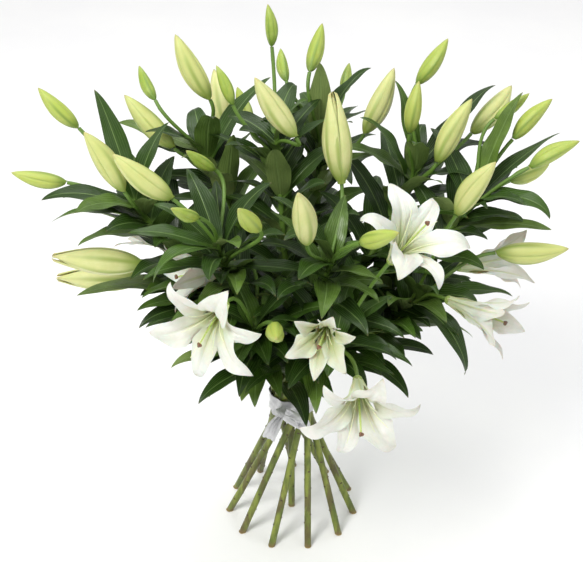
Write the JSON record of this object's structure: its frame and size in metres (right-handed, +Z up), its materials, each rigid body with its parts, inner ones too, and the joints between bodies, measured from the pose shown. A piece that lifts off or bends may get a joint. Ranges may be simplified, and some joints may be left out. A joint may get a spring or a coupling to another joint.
{
  "type": "tied bunch of lilies",
  "caption": "Hand-tied spiral bunch of white lilies in bud and flower, bound with a satin ribbon and standing unheld on its splayed cut stem ends.",
  "frame": {"origin": "on the floor, under the middle of the bunch's box", "axes": "+Z up, the front of the bunch towards -Y, +X to its right seen from the front"},
  "size_m": [0.7642, 0.5638, 0.7801],
  "materials": {
    "stem_and_leaf": "satin",
    "green_bud": "satin",
    "opening_bud": "satin",
    "petal": "satin",
    "stem_bark": "satin",
    "cut_end": "matte",
    "pistil": "satin",
    "stigma": "satin",
    "ribbon_satin": "satin"
  },
  "bodies": {
    "root": {"bud_01": "green_bud", "bud_02": "green_bud", "bud_03": "green_bud", "bud_04": "green_bud", "bud_05": "green_bud", "bud_06": "green_bud", "bud_07": "green_bud", "bud_08": "green_bud", "bud_09": "green_bud", "bud_10": "green_bud", "bud_11": "green_bud", "bud_12": "green_bud", "bud_13": "green_bud", "bud_14": "green_bud", "bud_15": "green_bud", "bud_16": "green_bud", "bud_17": "green_bud", "bud_18": "green_bud", "bud_19": "green_bud", "bud_20": "green_bud", "bud_21": "green_bud", "bud_22": "green_bud", "bud_23": "green_bud", "bud_24": "green_bud", "bud_25": "green_bud", "bud_26": "green_bud", "bud_27": "green_bud", "bud_28": "green_bud", "bud_29": "green_bud", "bud_30": "green_bud", "bud_31": "green_bud", "bud_32": "green_bud", "cup_flower_01": "petal", "open_flower_01": "petal", "open_flower_02": "petal", "open_flower_03": "petal", "opening_bud_01": "opening_bud", "opening_bud_02": "opening_bud", "opening_bud_03": "opening_bud", "ribbon_band": "ribbon_satin", "ribbon_knot": "ribbon_satin", "ribbon_loop": "ribbon_satin", "ribbon_tail": "ribbon_satin", "stem_01": "stem_and_leaf", "stem_02": "stem_and_leaf", "stem_03": "stem_and_leaf", "stem_04": "stem_and_leaf", "stem_05": "stem_and_leaf", "stem_06": "stem_and_leaf", "stem_07": "stem_and_leaf", "stem_08": "stem_and_leaf", "stem_09": "stem_and_leaf", "stem_10": "stem_and_leaf", "stem_11": "stem_and_leaf", "stem_12": "stem_and_leaf", "trumpet_flower_01": "petal", "trumpet_flower_02": "petal", "trumpet_flower_03": "petal", "trumpet_flower_04": "petal"}
  },
  "joints": []
}
